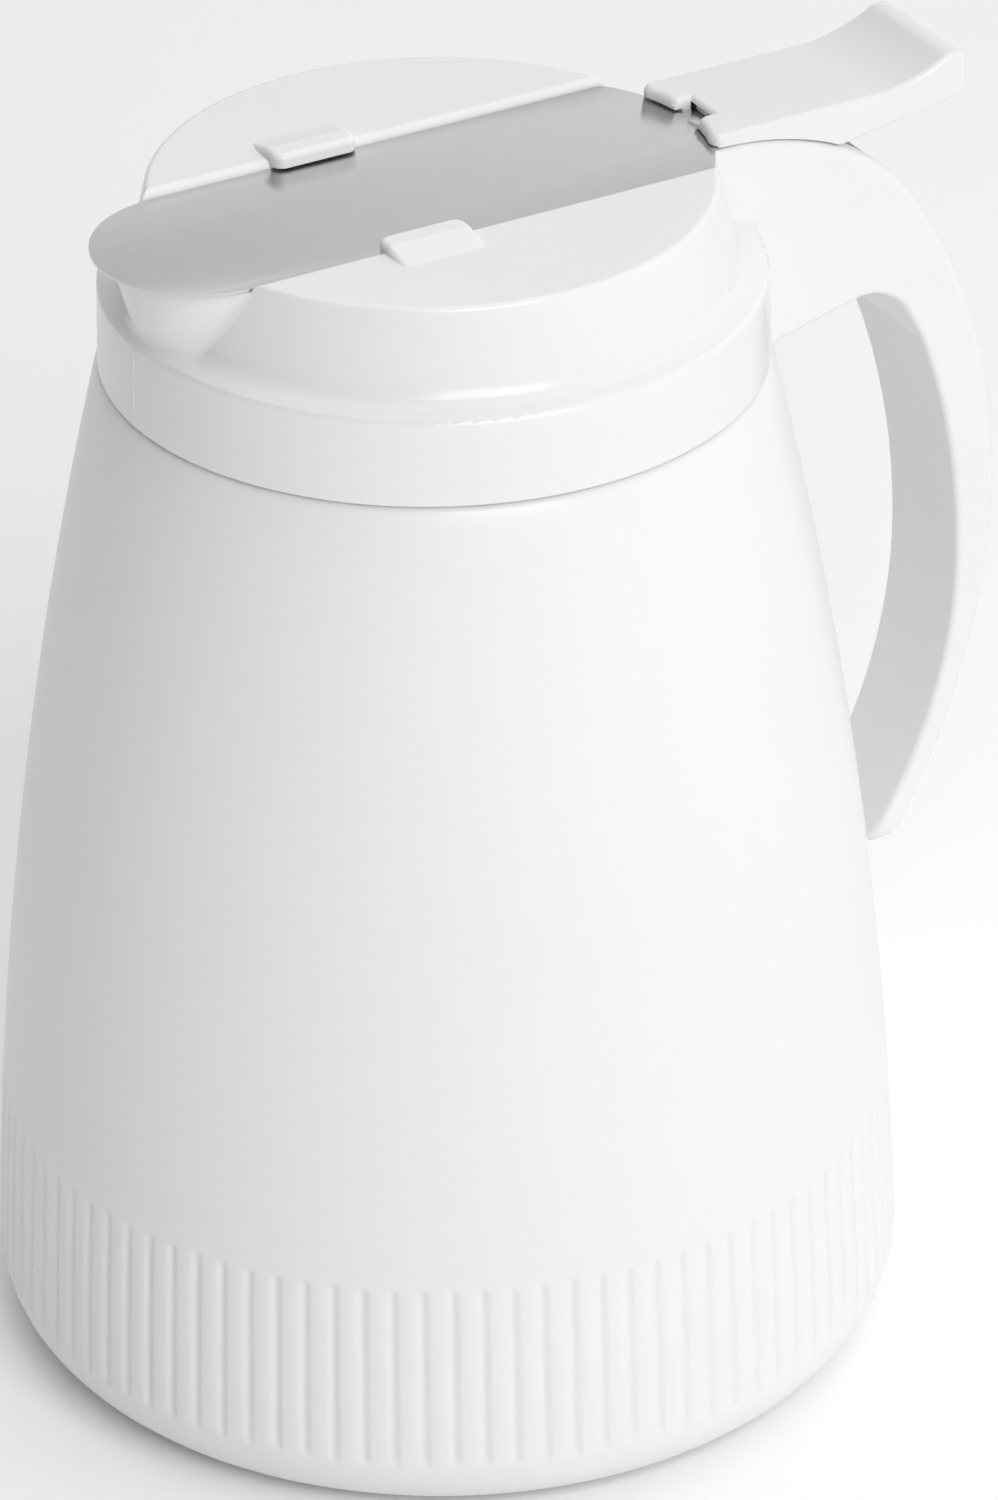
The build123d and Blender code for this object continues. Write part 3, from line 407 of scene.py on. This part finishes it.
def chain(points, name):
    """A line of edges through these points of the XZ plane, drawn by extruding one vertex."""
    bpy.ops.object.select_all(action="DESELECT")
    bpy.ops.mesh.primitive_plane_add(size=1)
    piece = bpy.context.active_object
    piece.name = name
    piece.data.name = name
    bpy.ops.object.mode_set(mode="EDIT")
    bpy.ops.mesh.merge(type="CENTER")
    bpy.ops.transform.translate(value=(points[0][0], 0, points[0][1]))
    for before, after in zip(points, points[1:]):
        step = (after[0] - before[0], 0, after[1] - before[1])
        bpy.ops.mesh.extrude_region_move(TRANSFORM_OT_translate={"value": step})
    return piece


def pick(piece, chosen):
    """Selects these vertices of the piece in edit mode, and no others."""
    bpy.ops.mesh.select_all(action="DESELECT")
    bpy.ops.object.mode_set(mode="OBJECT")
    for index in chosen:
        piece.data.vertices[index].select = True
    bpy.ops.object.mode_set(mode="EDIT")


def press_groove(piece, before, after, look):
    """Moves the newest column of the strip to the groove's depth, from the depth of the last one."""
    bpy.ops.object.mode_set(mode="OBJECT")
    column = [(v.index, v.co.copy()) for v in piece.data.vertices if v.select]
    bpy.ops.object.mode_set(mode="EDIT")
    for index, place in column:
        depth = rib_depth(after, place.z, look) - rib_depth(before, place.z, look)
        if depth != 0 and place.xy.length > wall_radius(place.z) - WALL / 2:
            pick(piece, [index])
            inwards = -depth * Vector((place.x, place.y, 0)).normalized()
            bpy.ops.transform.translate(value=inwards)
    pick(piece, [index for index, _ in column])


def ribbed_body(look):
    """The jar below its neck: one rib's strip is spun from the outline and copied round."""
    piece = chain(jar_outline(look), "jar_body")
    bpy.ops.mesh.select_all(action="SELECT")
    share = look.groove_share
    columns = [-0.5, -share] + [share * i / 4 for i in range(-3, 4)] + [share, 0.5]
    pitch_deg = 360 / RIBS
    for before, after in zip(columns, columns[1:]):
        turn = math.radians(pitch_deg * (after - before))
        bpy.ops.mesh.spin(steps=1, angle=turn, center=(0, 0, 0), axis=(0, 0, 1))
        press_groove(piece, before, after, look)
    bpy.ops.mesh.select_all(action="SELECT")
    whole = 2 * math.pi * (RIBS - 1) / RIBS
    bpy.ops.mesh.spin(steps=RIBS - 1, angle=whole, dupli=True, center=(0, 0, 0), axis=(0, 0, 1))
    bpy.ops.mesh.select_all(action="SELECT")
    bpy.ops.mesh.remove_doubles(threshold=MERGE)
    bpy.ops.mesh.normals_make_consistent(inside=False)
    bpy.ops.object.mode_set(mode="OBJECT")
    return piece


def threaded_neck():
    """The neck with its thread, cut from the jar's own solid and closed below."""
    piece = copy_of("jar", "jar_neck")
    bpy.ops.object.mode_set(mode="EDIT")
    bpy.ops.mesh.select_all(action="SELECT")
    bpy.ops.mesh.bisect(plane_co=(0, 0, NECK_LOW + NECK_CUT), plane_no=(0, 0, 1), clear_inner=True)
    bpy.ops.mesh.select_all(action="DESELECT")
    bpy.ops.mesh.select_mode(type="EDGE")
    bpy.ops.mesh.select_non_manifold(extend=False)
    bpy.ops.mesh.bridge_edge_loops()
    bpy.ops.mesh.select_mode(type="VERT")
    bpy.ops.object.mode_set(mode="OBJECT")
    return piece


def build_jar(look):
    neck = threaded_neck()
    body = ribbed_body(look)
    neck.select_set(True)
    bpy.context.view_layer.objects.active = body
    bpy.ops.object.join()
    body.name = "ribbed_jar"
    body.data.name = "ribbed_jar"
    bpy.ops.object.shade_smooth_by_angle(angle=math.radians(JAR_SMOOTH_DEG))
    return body


# ------------------------------------------------------------------ what a user would change
class DispenserLooks(bpy.types.PropertyGroup):
    jar_colour: bpy.props.FloatVectorProperty(
        name="Jar colour", description="The jar's milky plastic", subtype="COLOR",
        size=3, min=0, max=1, default=(0.84, 0.84, 0.835),
    )
    jar_shade: bpy.props.FloatVectorProperty(
        name="Jar shade", description="The jar's plastic where it is a little thicker", subtype="COLOR",
        size=3, min=0, max=1, default=(0.82, 0.82, 0.812),
    )
    speck_colour: bpy.props.FloatVectorProperty(
        name="Speck colour", description="The few specks in the jar's plastic", subtype="COLOR",
        size=3, min=0, max=1, default=(0.30, 0.27, 0.24),
    )
    white_colour: bpy.props.FloatVectorProperty(
        name="Top colour", description="The white plastic of the top", subtype="COLOR",
        size=3, min=0, max=1, default=(0.80, 0.80, 0.808),
    )
    white_shade: bpy.props.FloatVectorProperty(
        name="Top shade", description="Flow marks in the top's white plastic", subtype="COLOR",
        size=3, min=0, max=1, default=(0.78, 0.78, 0.79),
    )
    lever_colour: bpy.props.FloatVectorProperty(
        name="Lever colour", description="The lever's white plastic", subtype="COLOR",
        size=3, min=0, max=1, default=(0.77, 0.77, 0.80),
    )
    steel_colour: bpy.props.FloatVectorProperty(
        name="Steel colour", description="The slide's stainless steel", subtype="COLOR",
        size=3, min=0, max=1, default=(0.60, 0.60, 0.61),
    )
    steel_roughness: bpy.props.FloatProperty(
        name="Steel roughness", description="How matt the slide's satin finish is",
        min=0, max=1, default=0.16,
    )
    plastic_roughness: bpy.props.FloatProperty(
        name="Plastic roughness", description="How matt the white plastic is", min=0, max=1, default=0.2,
    )


class DispenserDetails(bpy.types.PropertyGroup):
    groove_depth: bpy.props.FloatProperty(
        name="Groove depth", description="Depth of the grooves between the jar's ribs", unit="LENGTH",
        default=0.36 * MM, min=0,
    )
    groove_share: bpy.props.FloatProperty(
        name="Groove width", description="Half a groove's width as a share of the ribs' spacing",
        default=0.27, min=0.05, max=0.45,
    )
    rib_end: bpy.props.FloatProperty(
        name="Groove end", description="Length over which a groove fades out", unit="LENGTH",
        default=1.6 * MM, min=0,
    )
    slide_edge: bpy.props.FloatProperty(
        name="Slide edge", description="Rounding of the slide's edges", unit="LENGTH",
        default=0.12 * MM, min=0,
    )
    mould_line: bpy.props.FloatProperty(
        name="Mould line", description="Half the width of the line down the front of the skirt",
        unit="LENGTH", default=0.1 * MM, min=0,
    )


class DispenserStudio(bpy.types.PropertyGroup):
    key_power: bpy.props.FloatProperty(
        name="Key light", description="Power of the large soft light", unit="POWER", default=27, min=0,
    )
    top_power: bpy.props.FloatProperty(
        name="Top light", description="Power of the soft light overhead", unit="POWER", default=8, min=0,
    )
    sky_bright: bpy.props.FloatProperty(
        name="Bright side", description="Brightness of the room behind on the right", default=0.98, min=0,
    )
    sky_dim: bpy.props.FloatProperty(
        name="Dim side", description="Brightness of the room in front on the left", default=0.08, min=0,
    )
    floor_radius: bpy.props.FloatProperty(
        name="Floor", description="Radius of the floor", unit="LENGTH", default=6.0, min=1,
    )


# ------------------------------------------------------------------ camera
CAMERA_TURN_DEG = 28.65      # the spout points this far to the left of away from the camera
CAMERA_AWAY = 0.98295
CAMERA_HIGH = 0.65740
CAMERA_YAW_DEG = 0.48246
CAMERA_PITCH_DEG = 30.0596
CAMERA_ROLL_DEG = -0.65181
FOCAL_PIXELS = 8000.3
IMAGE_WIDTH = 998
SENSOR_MM = 36


def place_camera():
    """The photographed view: a long lens, a third of a right angle above the table."""
    data = bpy.data.cameras.new("camera")
    data.sensor_fit = "HORIZONTAL"
    data.sensor_width = SENSOR_MM
    data.lens = FOCAL_PIXELS / IMAGE_WIDTH * SENSOR_MM
    camera = bpy.data.objects.new("camera", data)
    bpy.context.scene.collection.objects.link(camera)
    turn = Matrix.Rotation(math.radians(-CAMERA_TURN_DEG), 4, "Z")
    stand = turn @ Matrix.Translation((0, -CAMERA_AWAY, CAMERA_HIGH))
    yaw = Matrix.Rotation(math.radians(-CAMERA_YAW_DEG), 4, "Z")
    pitch = Matrix.Rotation(math.radians(90 - CAMERA_PITCH_DEG), 4, "X")
    roll = Matrix.Rotation(math.radians(CAMERA_ROLL_DEG), 4, "Z")
    camera.matrix_world = stand @ yaw @ pitch @ roll
    bpy.context.scene.camera = camera


def soft_light(name, size, power, away, right, high, aim=(0, 0, 0.1)):
    """A square soft light, placed from the photographed side: away is towards the camera."""
    turn = Matrix.Rotation(math.radians(-CAMERA_TURN_DEG), 4, "Z")
    spot = turn @ Vector((right, -away, high))
    data = bpy.data.lights.new(name, "AREA")
    data.shape = "SQUARE"
    data.size = size
    data.energy = power
    lamp = bpy.data.objects.new(name, data)
    bpy.context.scene.collection.objects.link(lamp)
    lamp.location = spot
    lamp.rotation_euler = (Vector(aim) - spot).to_track_quat("-Z", "Y").to_euler()


BRIGHT_WAY_DEG = 45          # from the camera's right towards the back of the room


def light_room(studio):
    """A pale room, brighter behind on the right, as seen from the photographed side."""
    world = bpy.data.worlds.new("room")
    bpy.context.scene.world = world
    world.use_nodes = True
    tree = world.node_tree
    place = tree.nodes.new("ShaderNodeTexCoord").outputs["Generated"]
    side = tree.nodes.new("ShaderNodeVectorMath")
    side.operation = "DOT_PRODUCT"
    bright_way = math.radians(BRIGHT_WAY_DEG - CAMERA_TURN_DEG)
    side.inputs[1].default_value = (math.cos(bright_way), math.sin(bright_way), 0)
    tree.links.new(place, side.inputs[0])
    share = remap(tree, side.outputs["Value"], -0.9, 0.9, studio.sky_dim, studio.sky_bright)
    background = tree.nodes["Background"]
    tree.links.new(share, background.inputs["Strength"])
    background.inputs["Color"].default_value = (1, 1, 1, 1)


# ------------------------------------------------------------------ operators
class DISPENSER_OT_jar(bpy.types.Operator):
    """Model the ribbed jar and give it its milky plastic"""

    bl_idname = "dispenser.jar"
    bl_label = "Jar"

    def execute(self, context):
        jar = build_jar(context.scene.dispenser_details)
        dress(jar, jar_plastic(context.scene.dispenser_looks))
        stand_for(jar, "jar")
        return {"FINISHED"}


class DISPENSER_OT_top(bpy.types.Operator):
    """Finish the moulded top and draw the mould line on its skirt"""

    bl_idname = "dispenser.top"
    bl_label = "Top"

    def execute(self, context):
        looks = context.scene.dispenser_looks
        white = moulded_white(looks, "top_white", looks.white_colour, looks.white_shade)
        dress(frame["nodes"]["top_body"], white)
        line = skirt_line(context.scene.dispenser_details.mould_line)
        dress(line, white)
        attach(line, BODY_OF["top_body"])
        return {"FINISHED"}


class DISPENSER_OT_slide(bpy.types.Operator):
    """Make the steel slide with its eased edges"""

    bl_idname = "dispenser.slide"
    bl_label = "Steel slide"

    def execute(self, context):
        slide = copy_of("slide_blade", "steel_slide")
        ease_edges(slide, context.scene.dispenser_details.slide_edge)
        dress(slide, satin_steel(context.scene.dispenser_looks, "slide_steel"))
        stand_for(slide, "slide_blade")
        return {"FINISHED"}


class DISPENSER_OT_lever(bpy.types.Operator):
    """Trim the thumb lever and give it its white plastic"""

    bl_idname = "dispenser.lever"
    bl_label = "Thumb lever"

    def execute(self, context):
        looks = context.scene.dispenser_looks
        white = moulded_white(looks, "lever_white", looks.lever_colour, looks.white_shade)
        lever = trimmed_lever()
        dress(lever, white)
        stand_for(lever, "thumb_lever")
        return {"FINISHED"}


class DISPENSER_OT_hardware(bpy.types.Operator):
    """Finish the hidden seal, pivot pin and return spring"""

    bl_idname = "dispenser.hardware"
    bl_label = "Seal, pin and spring"

    def execute(self, context):
        looks = context.scene.dispenser_looks
        dress(frame["nodes"]["neck_seal"], seal_rubber())
        dress(frame["nodes"]["lever_pin"], satin_steel(looks, "pin_steel", (1600, 18, 1600)))
        dress(frame["nodes"]["return_spring"], satin_steel(looks, "spring_steel", (300, 300, 300)))
        return {"FINISHED"}


class DISPENSER_OT_studio(bpy.types.Operator):
    """Lay the pale floor and set the soft lights and the camera"""

    bl_idname = "dispenser.studio"
    bl_label = "Studio"

    def execute(self, context):
        studio = context.scene.dispenser_studio
        bpy.ops.object.select_all(action="DESELECT")
        bpy.ops.mesh.primitive_circle_add(vertices=96, radius=studio.floor_radius, fill_type="NGON")
        floor = context.active_object
        floor.name = "studio_floor"
        floor.data.name = "studio_floor"
        dress(floor, pale_floor())
        light_room(studio)
        soft_light("key_light", 1.4, studio.key_power, away=1.65, right=0.65, high=1.35)
        soft_light("top_light", 1.8, studio.top_power, away=-0.3, right=0.1, high=2.0)
        place_camera()
        context.scene.view_settings.view_transform = "Standard"
        return {"FINISHED"}


OPERATORS = (
    DISPENSER_OT_jar,
    DISPENSER_OT_top,
    DISPENSER_OT_slide,
    DISPENSER_OT_lever,
    DISPENSER_OT_hardware,
    DISPENSER_OT_studio,
)


class DISPENSER_PT_panel(bpy.types.Panel):
    bl_label = "Syrup Dispenser"
    bl_idname = "DISPENSER_PT_panel"
    bl_space_type = "VIEW_3D"
    bl_region_type = "UI"
    bl_category = "Dispenser"

    def draw(self, context):
        for group in ("dispenser_looks", "dispenser_details", "dispenser_studio"):
            settings = getattr(context.scene, group)
            for name in settings.bl_rna.properties.keys():
                if name not in ("rna_type", "name"):
                    self.layout.prop(settings, name)
        for operator in OPERATORS:
            self.layout.operator(operator.bl_idname)


GROUPS = {
    "dispenser_looks": DispenserLooks,
    "dispenser_details": DispenserDetails,
    "dispenser_studio": DispenserStudio,
}


def register():
    for group in GROUPS.values():
        bpy.utils.register_class(group)
    for operator in OPERATORS:
        bpy.utils.register_class(operator)
    bpy.utils.register_class(DISPENSER_PT_panel)
    for name, group in GROUPS.items():
        setattr(bpy.types.Scene, name, bpy.props.PointerProperty(type=group))


def unregister():
    for name in GROUPS:
        delattr(bpy.types.Scene, name)
    bpy.utils.unregister_class(DISPENSER_PT_panel)
    for operator in reversed(OPERATORS):
        bpy.utils.unregister_class(operator)
    for group in reversed(GROUPS.values()):
        bpy.utils.unregister_class(group)


def main():
    register()
    bpy.ops.dispenser.jar()
    bpy.ops.dispenser.top()
    bpy.ops.dispenser.slide()
    bpy.ops.dispenser.lever()
    bpy.ops.dispenser.hardware()
    bpy.ops.dispenser.studio()
    bpy.context.view_layer.update()


if __name__ == "__main__":
    main()
